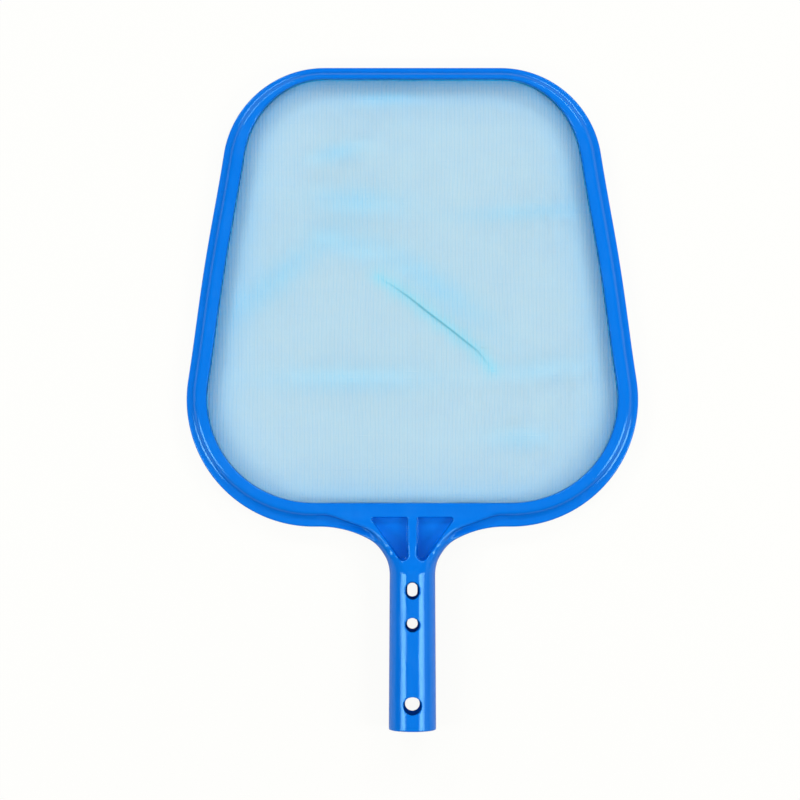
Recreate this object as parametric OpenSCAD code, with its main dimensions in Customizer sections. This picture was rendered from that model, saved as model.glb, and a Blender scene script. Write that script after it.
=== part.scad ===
// Leaf skimmer head for a pool pole: a moulded hoop with a ribbed yoke and a pole socket,
// a fine net, the cord in the net's edge and the ring that holds both in the hoop's channel.
// Millimetres. The head lies on its back: +Z is the side that the net is seen from,
// +Y runs from the pole socket to the top bar, and the origin is the middle of its base.

/* [Hoop outline] */
// Length from the socket's mouth to the outside of the top bar
overall_l = 442; // [425:1:480]
// Length of the hoop alone, outside to outside
hoop_l = 307; // [290:0.5:320]
// Greatest outside width of the hoop
hoop_w = 302.2; // [280:0.2:320]
// Length of the straight top bar between its corners
top_flat = 118; // [100:1:140]
// Outside radius of the two top corners
top_corner_r = 68; // [45:1:70]
// Outside radius of the two lower corners
low_corner_r = 85; // [74:1:88]
// How far the sides bow out from a straight line
side_bow = 1.1; // [0:0.1:3]

/* [Hoop section] */
// Width of the top bar
top_bar_w = 7.6; // [7.5:0.1:12]
// Width of the side bars
side_bar_w = 13.4; // [12:0.1:18]
// Width of the bottom bar
low_bar_w = 16; // [14:0.1:20]
// Width of the outer flange on the top bar
top_flange_w = 3.8; // [3.4:0.1:4]
// Width of the outer flange on the side bars
side_flange_w = 4.6; // [4:0.1:7.5]
// Width of the outer flange on the bottom bar
low_flange_w = 7.5; // [6:0.1:9]
// Height of the raised inner band
band_h = 15; // [14:0.1:18]
// Height of the outer flange at its outer edge
flange_h = 10.6; // [10:0.1:12]
// How much the flange climbs towards the band
flange_rise = 0.8; // [0.2:0.1:1.6]
// Radius of the rounded edges
edge_r = 1.4; // [1:0.1:1.6]
// Wall thickness of the hoop
wall_t = 1.6; // [1.4:0.1:2]
// Height of the lip under which the net comes out
lip_h = 3.4; // [3:0.1:4]

/* [Net and its fixing] */
// Thickness of the net
net_t = 0.6; // [0.4:0.05:0.8]
// Height of the net's slack floor above the base
net_floor_h = 0.6; // [0.3:0.1:1]
// Distance over which the net falls from the lip to its floor
net_fall = 26; // [15:1:40]
// Number of openings across the net, and of rows along it, that stand for its fine mesh
mesh_count = 12; // [6:1:12]
// Width of the net between its openings
mesh_strip = 5.5; // [4:0.5:10]
// Distance from the hoop's inner edge in to the first openings
mesh_rim = 5; // [4:1:20]
// Diameter of the cord in the net's edge
cord_d = 1.8; // [1.2:0.1:2]
// Height of the retaining ring's foot above the base
foot_z = 0.6; // [0.3:0.1:0.8]
// Thickness of the retaining ring's foot
foot_t = 1.6; // [1.2:0.1:1.8]
// Thickness of the retaining ring's leg
leg_t = 1.4; // [1:0.1:1.6]
// Height of the retaining ring's leg above its foot
leg_h = 2.6; // [1.5:0.1:3]
// Clearance of the ring and the cord in the channel
fit_gap = 0.3; // [0.2:0.05:0.4]

/* [Pole socket] */
// Bore of the socket
bore_d = 28; // [26:0.1:28.4]
// Outside diameter at the mouth
mouth_d = 31.6; // [31:0.1:34]
// Outside diameter at the neck
neck_d = 30.4; // [30:0.1:31]
// Thickness of the wall that closes the bore
end_wall = 1.7; // [1:0.1:4]
// Chamfer round the mouth
mouth_chamfer = 0.6; // [0.2:0.1:1]

/* [Cross holes] */
// Width of the slot next to the neck
slot_w = 9; // [6:0.1:11]
// Length of the slot next to the neck
slot_l = 11.4; // [9:0.1:14]
// Distance from the bore's closed end to the slot's middle
slot_from_end = 8; // [7:0.1:14]
// Diameter of the middle hole
mid_hole_d = 9.4; // [6:0.1:11]
// Distance from the mouth to the middle hole
mid_hole_y = 70.8; // [55:0.1:73]
// Diameter of the hole near the mouth
low_hole_d = 12; // [8:0.1:14]
// Distance from the mouth to the hole near it
low_hole_y = 17; // [12:0.1:30]

/* [Yoke] */
// Half width at which the fairing leaves the bottom bar
fair_x = 62; // [58:0.5:64]
// Radius of the fairing next to the bottom bar
fair_r = 70; // [66:1:76]
// Radius of the fairing next to the neck
neck_fair_r = 27; // [24:0.5:30]
// Width of the centre rib
rib_w = 6.4; // [4:0.1:8]
// Thickness of the raised legs beside the pockets
leg_w = 3.2; // [2:0.1:4]
// Half width of the pair of pockets at their upper edge
pocket_x = 28.5; // [24:0.5:34]
// Width of a pocket's rounded lower end
pocket_end_w = 6.5; // [5:0.1:8]
// Distance from the hoop's outer edge in to the pockets' upper edge
pocket_in = 6.5; // [5:0.1:7]
// Distance from the neck to the pockets' lower end
pocket_from_neck = 10.4; // [8:0.1:12]
// Corner radius at the pockets' upper edge
pocket_r = 1.5; // [1:0.1:2.5]
// Thickness of the web that floors the pockets
web_t = 2.2; // [1.6:0.1:3]
// Radius of the curves where the raised legs run into the land and the land into the band
leg_fillet_r = 26; // [12:1:30]
// Half width of the land where it leaves the band
land_x = 56; // [50:0.5:60]
// Half width of the land where it meets the legs
land_leg_x = 27; // [24:0.5:34]
// How far the land falls below the band's step there
land_fall = 10; // [8:0.2:14]
// Length over which the top of the tube bends into the slope of the yoke
neck_soft = 8; // [4:0.5:12]

/* [Hidden] */
$fn = 64;
plastic = [0.0, 0.44, 0.92];
ring_plastic = [0.0, 0.36, 0.80];
cord_white = [0.82, 0.90, 0.95];
net_blue = [0.66, 0.83, 0.92];
cut = 1;                  // how far a cutter runs past what it cuts
low_steps = 16;           // stations round a lower corner
side_steps = 5;           // stations along a side
top_steps = 14;           // stations round a top corner
corner_steps = 7;         // points round a corner of a yoke section
cord_sides = 8;

low_y = overall_l - hoop_l;
low_c = [hoop_w / 2 - low_corner_r, low_y + low_corner_r];
top_c = [top_flat / 2, overall_l - top_corner_r];
between = top_c - low_c;
// Direction that the side bars face: the common tangent of the two corner circles
side_a = atan2(between.y, between.x) - acos((low_corner_r - top_corner_r) / norm(between));
seam_x = (fair_x + low_c.x) / 2;

axis_z = mouth_d / 2;
neck_rad = neck_d / 2;
fair_c = [fair_x, low_y - fair_r];
fair_a = acos((neck_rad + neck_fair_r - fair_x) / (fair_r - neck_fair_r));
neck_c = fair_c + (fair_r - neck_fair_r) * [cos(fair_a), sin(fair_a)];
neck_y = neck_c.y;
bore_l = neck_y - end_wall;
tube_top = axis_z + neck_rad;
pocket_top = low_y + pocket_in;
pocket_low = neck_y + pocket_from_neck;
web_top = flange_h + 0.4;
under_top = low_y - wall_t;
section_r = edge_r + 0.6;
step_lean = 0.7;          // how far the step up to the band leans in
step_y = low_y + low_flange_w + step_lean;

leg_in = wall_t + net_t + 2 * fit_gap;      // from the inner edge out to the leg's net side
foot_top = foot_z + foot_t;
leg_top = foot_top + leg_h;
cord_z = leg_top + fit_gap + cord_d / 2;
cord_in = wall_t + fit_gap + cord_d / 2;
hem_top = cord_z - cord_d / 2 - fit_gap;
net_gap_z = (lip_h + foot_top) / 2;

function ease(t) = t * t * (3 - 2 * t);
function mix(a, b, t) = a + (b - a) * t;
function turned(a) = [cos(a), sin(a)];

// A size that changes round the hoop: its value where the hoop faces the angle a
function around(a, top, side, low) =
    a >= side_a ? mix(side, top, ease((a - side_a) / (90 - side_a)))
                : mix(side, low, ease((side_a - a) / (side_a + 90)));
function bar_w(a) = around(a, top_bar_w, side_bar_w, low_bar_w);
function flange_w(a) = around(a, top_flange_w, side_flange_w, low_flange_w);

// Stations on the hoop's outer edge: [point, outward direction, the angle it faces]
function corner(c, r, a0, a1, steps) =
    [for (i = [0 : steps]) let (a = mix(a0, a1, i / steps)) [c + r * turned(a), turned(a), a]];
function side() = let (n = turned(side_a), p0 = low_c + low_corner_r * n, p1 = top_c + top_corner_r * n)
    [for (i = [1 : side_steps - 1]) let (f = i / side_steps)
        [mix(p0, p1, f) + n * side_bow * (1 - cos(360 * f)) / 2, n, side_a]];
right = concat(corner(low_c, low_corner_r, -90, side_a, low_steps), side(),
               corner(top_c, top_corner_r, side_a, 90, top_steps));
function mirrored(s) = [[-s[0].x, s[0].y], [-s[1].x, s[1].y], s[2]];
function to_left(stations) = [for (i = [len(stations) - 1 : -1 : 0]) mirrored(stations[i])];
whole_loop = concat(right, to_left(right));
seam = [[seam_x, low_y], [0, -1], -90];
open_loop = concat([seam], whole_loop, [mirrored(seam)]);

// Hoop section, as pairs of an outer and a channel-side point. A point is [distance in, height].
function outer_chain(w, f) = [
    [0.3, 0],
    [0, cut],
    [0, flange_h - edge_r],
    [edge_r * 0.3, flange_h - edge_r * 0.35],
    [edge_r, flange_h],
    [f - 0.8, flange_h + flange_rise],
    [f, flange_h + flange_rise + 0.8],
    [f + 0.2, band_h - edge_r * 0.9],
    [f + step_lean, band_h - edge_r * 0.3],
    [f + 0.4 + edge_r, band_h],
    [w - edge_r, band_h],
    [w - edge_r * 0.3, band_h - edge_r * 0.35],
    [w, band_h - edge_r],
    [w - 0.2, lip_h]];
function channel_chain(w, f) = let (x = w - wall_t, s = min(f + wall_t, x - 0.6)) [
    [wall_t, 0],
    [wall_t, cut],
    [wall_t, flange_h - wall_t - 0.9],
    [wall_t + 0.3, flange_h - wall_t - 0.4],
    [wall_t + 0.8, flange_h - wall_t],
    [s - 0.9, flange_h - wall_t + 0.1],
    [s - 0.6, flange_h - wall_t + 0.4],
    [s - 0.4, band_h - wall_t - 0.6],
    [s - 0.2, band_h - wall_t - 0.2],
    [s, band_h - wall_t],
    [x - 0.4, band_h - wall_t],
    [x - 0.1, band_h - wall_t - 0.2],
    [x, band_h - wall_t - 0.6],
    [x, lip_h]];
function hoop_section(a) = concat(outer_chain(bar_w(a), flange_w(a)), backwards(channel_chain(bar_w(a), flange_w(a))));
function backwards(list) = [for (i = [len(list) - 1 : -1 : 0]) list[i]];

// T-shaped section of the retaining ring
function ring_section(a) = let (w = bar_w(a), x = w - leg_in, o = wall_t + fit_gap) [
    [x, leg_top - 0.3],
    [x - 0.3, leg_top],
    [x - leg_t + 0.3, leg_top],
    [x - leg_t, leg_top - 0.3],
    [x - leg_t, foot_top],
    [o, foot_top],
    [o, foot_z],
    [w - 0.2, foot_z],
    [w, foot_z + 0.2],
    [w, foot_top],
    [x, foot_top]];

function cord_section(a) = [for (i = [0 : cord_sides - 1])
    [bar_w(a) - cord_in, cord_z] + cord_d / 2 * turned(-360 * (i + 0.5) / cord_sides)];

// Section of the net from its hem, up inside the channel, to the edge of its floor
function net_top_chain(w) = let (x = w - wall_t - fit_gap, z = net_gap_z + net_t / 2) concat(
    [[x, hem_top], [x, z], [w, z]],
    [for (f = [0.08, 0.3, 0.6, 1]) [w + net_fall * f, mix(net_floor_h + net_t, z, pow(1 - f, 2))]]);
function net_low_chain(w) = let (x = w - wall_t - fit_gap - net_t, z = net_gap_z - net_t / 2) concat(
    [[x, hem_top], [x, z], [w, z]],
    [for (f = [0.08, 0.3, 0.6, 1]) [w + net_fall * f, mix(net_floor_h, z, pow(1 - f, 2))]]);
function net_section(a) = concat(backwards(net_low_chain(bar_w(a))), net_top_chain(bar_w(a)));

// Rails of a section swept round the stations, and the triangles between neighbours
function swept(stations, sections) = [for (i = [0 : len(stations) - 1], p = sections[i])
    let (s = stations[i], q = s[0] - s[1] * p.x) [q.x, q.y, p.y]];
function skin(rings, m, closed, closed_section = true) =
    [for (i = [0 : rings - (closed ? 1 : 2)], j = [0 : m - (closed_section ? 1 : 2)], half = [0, 1])
        let (a = i * m + j, b = i * m + (j + 1) % m, c = (i + 1) % rings * m + j,
             d = (i + 1) % rings * m + (j + 1) % m)
        half == 0 ? [a, d, c] : [a, b, d]];
// End cap of a section made of paired chains: a strip of triangles between the chains
function strip_cap(first, m, front) = [for (j = [0 : m / 2 - 2], half = [0, 1])
    let (a = first + j, b = a + 1, c = first + m - 1 - j, d = c - 1,
         face = half == 0 ? [a, b, d] : [a, d, c])
    front ? backwards(face) : face];

module placed() translate([0, -overall_l / 2, 0]) children();

module sweep_loop(stations, sections) {
    m = len(sections[0]);
    polyhedron(swept(stations, sections), skin(len(stations), m, true), convexity = 10);
}

module hoop() {
    sections = [for (s = open_loop) hoop_section(s[2])];
    n = len(open_loop);
    m = len(sections[0]);
    color(plastic) placed()
        polyhedron(swept(open_loop, sections),
                   concat(skin(n, m, false), strip_cap(0, m, true), strip_cap((n - 1) * m, m, false)),
                   convexity = 10);
}

module retaining_ring() {
    color(ring_plastic) placed() sweep_loop(whole_loop, [for (s = whole_loop) ring_section(s[2])]);
}

module edge_cord() {
    color(cord_white) placed() sweep_loop(whole_loop, [for (s = whole_loop) cord_section(s[2])]);
}

// Plan of the net's openings: a plain grid, cut off at the rim, without slivers there
module mesh_openings() {
    rim = [for (s = whole_loop) s[0] - s[1] * (bar_w(s[2]) + mesh_rim)];
    half_w = hoop_w / 2 - side_bar_w - mesh_rim;
    low = low_y + low_bar_w + mesh_rim;
    pitch_x = (2 * half_w + mesh_strip) / mesh_count;
    pitch_y = (overall_l - top_bar_w - mesh_rim - low + mesh_strip) / mesh_count;
    offset(delta = 1.5) offset(delta = -1.5) intersection() {
        polygon(rim);
        for (i = [0 : mesh_count - 1], j = [0 : mesh_count - 1])
            translate([i * pitch_x - half_w, low + j * pitch_y]) square([pitch_x - mesh_strip, pitch_y - mesh_strip]);
    }
}

module net() {
    sections = [for (s = whole_loop) net_section(s[2])];
    n = len(whole_loop);
    m = len(sections[0]);
    under = [for (i = [0 : n - 1]) i * m];
    over = [for (i = [0 : n - 1]) i * m + m - 1];
    color(net_blue) placed() difference() {
        polyhedron(swept(whole_loop, sections),
                   concat(skin(n, m, true, false), [under, backwards(over)]), convexity = 10);
        translate([0, 0, -cut]) linear_extrude(band_h) mesh_openings();
    }
}

// Bar along X whose section is given as [distance in from the hoop's outer edge, height]
module bar_along_x(half_l, section)
    rotate([90, 0, 90]) linear_extrude(2 * half_l, center = true)
        polygon([for (p = section) [low_y + p.x, p.y]]);

module bottom_bar() bar_along_x(seam_x, hoop_section(-90));

// What the hoop's channel leaves free under the bottom bar
module channel_void() {
    inside = channel_chain(low_bar_w, low_flange_w);
    bar_along_x(seam_x + cut, concat(inside, [[low_bar_w + cut, lip_h], [low_bar_w + cut, -cut], [wall_t, -cut]]));
}

// Height of a slope that leaves the neck level, bends down over neck_soft and is straight from there to its end
function slope_run(y) = let (d = y - neck_y) d < neck_soft ? d * d / (2 * neck_soft) : d - neck_soft / 2;
function slope_z(y, from, to, end) = mix(from, to, slope_run(y) / slope_run(end));
slope_stations = concat([for (i = [0 : 6]) neck_y + neck_soft * i / 6], [pocket_top]);

// Yoke section: a rounded rectangle that is the tube's own circle at the neck
function yoke_ring(y, half_w, top, low, r) = [for (q = [0 : 3], k = [0 : corner_steps])
    let (a = 90 * q + 90 * k / corner_steps, sx = q == 0 || q == 3 ? 1 : -1, sz = q < 2 ? 1 : -1,
         mid = (top + low) / 2, z = (top - low) / 2 - r)
    [sx * (half_w - r) + r * cos(a), y, mid + sz * z + r * sin(a)]];
fair_points = concat([for (i = [0 : 8]) neck_c + neck_fair_r * turned(mix(180, fair_a, i / 8))],
                     [for (i = [1 : 6]) fair_c + fair_r * turned(mix(fair_a, 90, i / 6))]);

// Shoulders of the yoke: they carry the tube's outside into the flange of the bottom bar
module shoulders() {
    rings = concat(
        [for (p = fair_points) let (t = (p.y - neck_y) / (low_y - neck_y))
            yoke_ring(p.y, p.x, slope_z(p.y, tube_top, flange_h, low_y), mix(axis_z - neck_rad, 0, ease(t)),
                      mix(neck_rad - 0.05, section_r, pow(t, 0.7)))],
        [yoke_ring(low_y + section_r, fair_x, flange_h, 0, section_r)]);
    m = len(rings[0]);
    n = len(rings);
    polyhedron([for (ring = rings, p = ring) p],
               concat(skin(n, m, false), [[for (j = [m - 1 : -1 : 0]) j]], [[for (j = [0 : m - 1]) (n - 1) * m + j]]),
               convexity = 6);
}

pocket_lean = (pocket_x - rib_w / 2 - pocket_end_w) / (pocket_top - pocket_low - pocket_end_w / 2);
module pocket_outline(top, grow = 0) {
    reach = pocket_x - pocket_lean * (pocket_top - top);
    hull() {
        translate([rib_w / 2 + pocket_r, top - pocket_r]) circle(pocket_r + grow);
        translate([reach - 2 * pocket_r, top - pocket_r]) circle(pocket_r + grow);
        translate([(rib_w + pocket_end_w) / 2, pocket_low + pocket_end_w / 2]) circle(pocket_end_w / 2 + grow);
    }
}

module both_sides() {
    children();
    mirror([1, 0]) children();
}

// Plan of the legs, the centre rib and the land above the pockets
module raised_plan() {
    offset(r = -leg_fillet_r) offset(r = leg_fillet_r) {
        both_sides() {
            pocket_outline(pocket_top, leg_w);
            polygon([[0, step_y], [0, step_y - land_fall], [land_leg_x, step_y - land_fall], [land_x, step_y]]);
        }
        translate([-fair_x, step_y]) square([2 * fair_x, leg_fillet_r]);
        translate([-rib_w / 2, pocket_low - leg_w]) square([rib_w, pocket_top - pocket_low]);
    }
}

// The raised part climbs from the band's height to the top of the tube
module raised_ribs() {
    land = low_y + low_flange_w + 3;
    intersection() {
        linear_extrude(2 * mouth_d) intersection() {
            raised_plan();
            translate([-fair_x, neck_y]) square([2 * fair_x, land - neck_y]);
        }
        rotate([90, 0, 90]) linear_extrude(2 * fair_x, center = true)
            polygon(concat([[neck_y, web_top - web_t]],
                           [for (y = slope_stations) [y, slope_z(y, tube_top - 0.3, band_h, pocket_top)]],
                           [[land, band_h], [land, web_top - web_t]]));
    }
}

module pockets() {
    both_sides() {
        translate([0, 0, web_top]) linear_extrude(mouth_d) pocket_outline(pocket_top);
        translate([0, 0, -cut]) linear_extrude(web_top - web_t + cut) pocket_outline(under_top);
    }
}

module socket_tube() translate([0, 0, axis_z]) rotate([-90, 0, 0]) {
    cylinder(h = mouth_chamfer, r1 = mouth_d / 2 - mouth_chamfer, r2 = mouth_d / 2);
    translate([0, 0, mouth_chamfer]) cylinder(h = neck_y - mouth_chamfer, r1 = mouth_d / 2, r2 = neck_rad);
}

module socket_bore() translate([0, 0, axis_z]) rotate([-90, 0, 0])
    translate([0, 0, -cut]) cylinder(h = bore_l + cut, d = bore_d);

module cross_holes() {
    slot_y = bore_l - slot_from_end;
    slot_half = (slot_l - slot_w) / 2;
    translate([0, mid_hole_y, -cut]) cylinder(h = 2 * mouth_d, d = mid_hole_d);
    translate([0, low_hole_y, -cut]) cylinder(h = 2 * mouth_d, d = low_hole_d);
    for (end = [-1, 1]) translate([0, slot_y + end * slot_half, -cut]) cylinder(h = 2 * mouth_d, d = slot_w);
    translate([-slot_w / 2, slot_y - slot_half, -cut]) cube([slot_w, 2 * slot_half, 2 * mouth_d]);
}

module yoke() {
    color(plastic) placed() difference() {
        union() {
            bottom_bar();
            shoulders();
            raised_ribs();
        }
        channel_void();
        pockets();
    }
}

module pole_socket() {
    color(plastic) placed() difference() {
        socket_tube();
        socket_bore();
        cross_holes();
    }
}

hoop();
yoke();
pole_socket();
retaining_ring();
edge_cord();
net();
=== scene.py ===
import math

import bmesh
import bpy
import numpy as np
import openvdb
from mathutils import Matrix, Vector


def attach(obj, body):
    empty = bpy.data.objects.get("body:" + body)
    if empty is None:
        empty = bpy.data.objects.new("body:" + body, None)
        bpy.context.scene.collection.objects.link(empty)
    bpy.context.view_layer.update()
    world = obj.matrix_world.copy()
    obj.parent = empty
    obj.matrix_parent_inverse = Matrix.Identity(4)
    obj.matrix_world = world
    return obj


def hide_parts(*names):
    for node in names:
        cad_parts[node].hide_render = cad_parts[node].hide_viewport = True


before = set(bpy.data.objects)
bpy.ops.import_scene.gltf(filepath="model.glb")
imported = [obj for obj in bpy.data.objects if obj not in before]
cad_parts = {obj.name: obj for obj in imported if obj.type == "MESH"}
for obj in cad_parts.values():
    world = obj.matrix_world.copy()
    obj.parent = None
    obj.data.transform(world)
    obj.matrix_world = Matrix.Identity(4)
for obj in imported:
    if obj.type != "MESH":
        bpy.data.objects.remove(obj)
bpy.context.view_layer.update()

# --------------------
# Sizes in millimetres, most of them the CAD source's. FLANGE_RISE, EDGE_R, the step, the crown,
# the holes' taper and the legs' sag follow the photo. Y is measured from the socket's mouth.
# Three values in brackets are those of the top bar, the side bars and the low bar.
# --------------------
MM = 0.001

# Hoop outline
OVERALL_L = 442.0
HOOP_L = 307.0
HOOP_W = 302.2
TOP_FLAT = 118.0                  # straight stretch of the top bar
TOP_R = 68.0
LOW_R = 85.0
SIDE_BOW = 1.1                    # how far the sides bow out

# Section of the bars: a flange outside, a raised band inside and a channel underneath
BAR_W = (7.6, 13.4, 16.0)
FLANGE_W = (3.8, 4.6, 7.5)
BAND_H = 15.0
FLANGE_H = 10.6
FLANGE_RISE = 0.3                 # over the flange's width
FLANGE_END = 1.5                  # from the bar's inner edge to where the flange ends under the band
EDGE_R = 0.9
FOOT_R = 0.5                      # of the outer wall's lower edge
WALL_T = 1.6
LIP_H = 3.4                       # height of the inner wall's lower edge
INNER_DRAFT = 0.2                 # how far the inner wall leans back on its way down to the lip
CROWN = (0.1, 0.5, 0.3)           # how far the band's edges lie below its middle
STEP_MID = 0.35                   # from the flange's width in to the middle of the step
STEP_RUN = (1.2, 1.1, 1.0)        # how far the step up to the band runs in
STEP_DEPTH = 5.0                  # how far below the band's top the step's slope goes on
STEP_EDGE_R = 1.6
STEP_FILLET_R = 1.0
RAISED_FOOT = 2.0                 # height where the raised band's body starts
ROOF_MIN = 0.6                    # least width of the channel's roof under the band
CHANNEL_OUT_R = 0.5
CHANNEL_IN_R = 0.3
OPENING_R = 0.4                   # of the edges round what is open from below

# Retaining ring, edge cord and net in the channel
FIT_GAP = 0.3
FOOT_Z = 0.6
FOOT_TOP = 2.2
LEG_IN = 2.8                      # from the bars' inner edge out to the ring's leg
LEG_T = 1.4
LEG_TOP = 4.8
RING_EDGE_R = 0.3
RING_ROOT_R = 0.2                 # where the leg stands on the foot
RING_RIM_R = 0.4                  # of the foot's lower edge towards the net
CORD_R = 0.9
CORD_Z = 6.0
CORD_IN = 2.8
CORD_STRANDS = 3
CORD_LAY = 9.0                    # length in which a strand goes once round the cord
CORD_GROOVE = 0.2                 # depth of the grooves between strands, as a share of the radius
CORD_POINTS = 18                  # round the cord
NET_FALL = 26.0                   # distance over which the net falls to its floor
NET_FLOOR = 0.9
NET_GAP = 2.8                     # height of the net where it passes under the lip
HEM_IN = 2.1                      # from the bars' inner edge out to where the net turns up
HEM_TOP = 4.5

# Pole socket
MOUTH_R = 15.8
NECK_R = 15.2
AXIS_Z = MOUTH_R                  # the mouth touches the base
BORE_R = 14.0
END_WALL = 1.7
MOUTH_EDGE_R = 0.6
BORE_EDGE_R = 0.3
BORE_END_R = 1.0
SLOT_FROM_END = 8.0               # from the bore's end to the slot's middle
SLOT_HALF = 1.2
SLOT_R = 4.5
MID_HOLE = (70.8, 4.7)            # place along the socket and radius
LOW_HOLE = (17.0, 6.0)
HOLE_TAPER = 1.1                  # how much narrower, and nearer the mouth, holes in the lower wall are
HOLE_EDGE_R = 0.5

# Yoke
FAIR_X = 62.0                     # where the large fairing arc leaves the low bar
FAIR_R = 70.0
NECK_FAIR_R = 27.0
NECK_SOFT = 8.0                   # run in which the slope up to the socket eases out
SLOPE_FALL = 0.733                # the slope's steepness
SLOPE_FADE = 4.0                  # run in which it ends at the low bar
SLOPE_FILL = 2.5                  # fill of the valley between the slope and the flange
SECTION_OPENING = 0.75            # power that opens the tube's round section into the bar's
BLEND_X = 48.0                    # where the yoke's forms start to fade into the plain bar's
RIB_W = 6.4
LEG_W = 3.2
LEG_RUN = 0.7                     # how far the legs' sides slope
LEG_FILLET_R = 26.0
LEG_SINK = 0.3                    # how far below the tube's top the legs start
LEG_FILL = 2.0                    # fill of the valley between the legs and the band
BAND_FROM = 12.0                  # distance in from the low bar's edge where only the band is raised
SAG_X = 13.0                      # how far out the legs follow the tube's roundness
SAG_END = 21.0                    # how far from the neck they do
SAG_RUN = 11.0                    # run in which that fades
NECK_REACH = 34.0                 # how far from the neck its softer edges reach
NECK_RUN = 20.0                   # run in which they sharpen
NECK_EDGE_R = 5.0
NECK_FILLET_R = 4.0
LAND_X = 56.0                     # half width of the raised land at the band
LAND_LEG_X = 27.0                 # and at its lower edge between the legs
LAND_FALL = 10.0                  # from the band down to that edge
LAND_BEYOND = 20.0                # how far its outline goes on under the band
POCKET_X = 28.5
POCKET_IN = 6.5                   # from the low bar's edge in to the pockets' upper edge
POCKET_FROM_NECK = 10.4
POCKET_END_W = 6.5
POCKET_R = 1.5
POCKET_DRAFT = 0.03               # how much wider the pockets get for each millimetre up
POCKET_EDGE_R = 0.5
POCKET_FLOOR_R = 0.8
WEB_TOP = 11.0                    # floor of the pockets
WEB_T = 2.2

LOW_Y = OVERALL_L - HOOP_L
LOW_C = np.array([HOOP_W / 2 - LOW_R, LOW_Y + LOW_R])
TOP_C = np.array([TOP_FLAT / 2, OVERALL_L - TOP_R])
BETWEEN = TOP_C - LOW_C
SIDE_A = math.atan2(BETWEEN[1], BETWEEN[0]) - math.acos((LOW_R - TOP_R) / math.hypot(*BETWEEN))
FAIR_C = np.array([FAIR_X, LOW_Y - FAIR_R])
FAIR_A = math.acos((NECK_R + NECK_FAIR_R - FAIR_X) / (FAIR_R - NECK_FAIR_R))
NECK_C = FAIR_C + (FAIR_R - NECK_FAIR_R) * np.array([math.cos(FAIR_A), math.sin(FAIR_A)])
NECK_Y = NECK_C[1]
TUBE_TOP = AXIS_Z + NECK_R
BORE_L = NECK_Y - END_WALL
SLOT_Y = BORE_L - SLOT_FROM_END
POCKET_TOP = LOW_Y + POCKET_IN
POCKET_LOW = NECK_Y + POCKET_FROM_NECK
UNDER_TOP = LOW_Y - WALL_T
STEP_Y = LOW_Y + FLANGE_W[2] + STEP_MID + STEP_RUN[2] / 2
SEAM_X = 64.0                     # where the swept bars take over from the yoke
BRIDGE = 0.7                      # from that seam to the first swept section

MIRROR = np.array([-1, 1])
rng = np.random.default_rng(7)


# --------------------
# Helpers
# --------------------
def mix(a, b, t):
    """The value a share t of the way from a to b."""
    return a + (b - a) * t


def ease(t):
    """A soft step from 0 to 1 while t goes from 0 to 1."""
    t = np.clip(t, 0.0, 1.0)
    return t * t * (3 - 2 * t)


def turned(a):
    """Unit vectors at angles."""
    return np.stack([np.cos(a), np.sin(a)], -1)


def unit(v):
    """Vectors scaled to a length of 1."""
    return v / np.maximum(np.linalg.norm(v, axis=-1, keepdims=True), 1e-9)


def both(a, b, r):
    """Field of what is inside both solids, with the edge between them rounded to r."""
    return np.minimum(-r, np.maximum(a, b)) + np.hypot(np.maximum(r + a, 0), np.maximum(r + b, 0))


def either(a, b, r):
    """Field of what is inside either solid, with a fillet of radius r between them."""
    return -both(-a, -b, r)


def higher(a, b, k):
    """The larger of two heights, with the valley between them filled over the height k."""
    h = np.maximum(k - np.abs(a - b), 0) / np.maximum(k, 1e-6)
    return np.maximum(a, b) + h * h * k / 4


def around(sizes, a):
    """A size that changes round the hoop, where the hoop faces the angle a."""
    top, side, low = sizes
    up = ease((a - SIDE_A) / (math.pi / 2 - SIDE_A))
    down = ease((SIDE_A - a) / (SIDE_A + math.pi / 2))
    return np.where(a >= SIDE_A, mix(side, top, up), mix(side, low, down))


def new_object(name, verts, faces, normals=None):
    """A smooth mesh object from points in millimetres with Y measured from the mouth."""
    mesh = bpy.data.meshes.new(name)
    points = (np.asarray(verts, float) - [0, OVERALL_L / 2, 0]) * MM
    mesh.from_pydata(points.tolist(), [], [list(map(int, f)) for f in faces])
    mesh.update()
    mesh.shade_smooth()
    if normals is not None:
        mesh.normals_split_custom_set_from_vertices(np.asarray(normals).tolist())
    obj = bpy.data.objects.new(name, mesh)
    bpy.context.scene.collection.objects.link(obj)
    return obj


# --------------------
# Stations round the hoop: outer points, outward directions and the angles faced
# --------------------
def right_half(low_n, side_n, top_n):
    """Stations from the right end of the low bar up to the right end of the top bar."""
    low_a = np.linspace(-math.pi / 2, SIDE_A, low_n)
    top_a = np.linspace(SIDE_A, math.pi / 2, top_n)
    out = turned(np.array(SIDE_A))
    share = np.linspace(0, 1, side_n + 2)[1:-1, None]
    start, end = LOW_C + LOW_R * out, TOP_C + TOP_R * out
    side = mix(start, end, share) + out * SIDE_BOW * (1 - np.cos(2 * math.pi * share)) / 2
    points = np.concatenate([LOW_C + LOW_R * turned(low_a), side, TOP_C + TOP_R * turned(top_a)])
    faced = np.concatenate([low_a, np.full(side_n, SIDE_A), top_a])
    return points, turned(faced), faced


def straight(x0, x1, y, faced, n):
    """Stations on a straight bar between x0 and x1, both ends left out."""
    x = np.linspace(x0, x1, n + 2)[1:-1]
    points = np.stack([x, np.full(n, y)], -1)
    return points, np.tile(turned(np.array(faced)), (n, 1)), np.full(n, faced)


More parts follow.
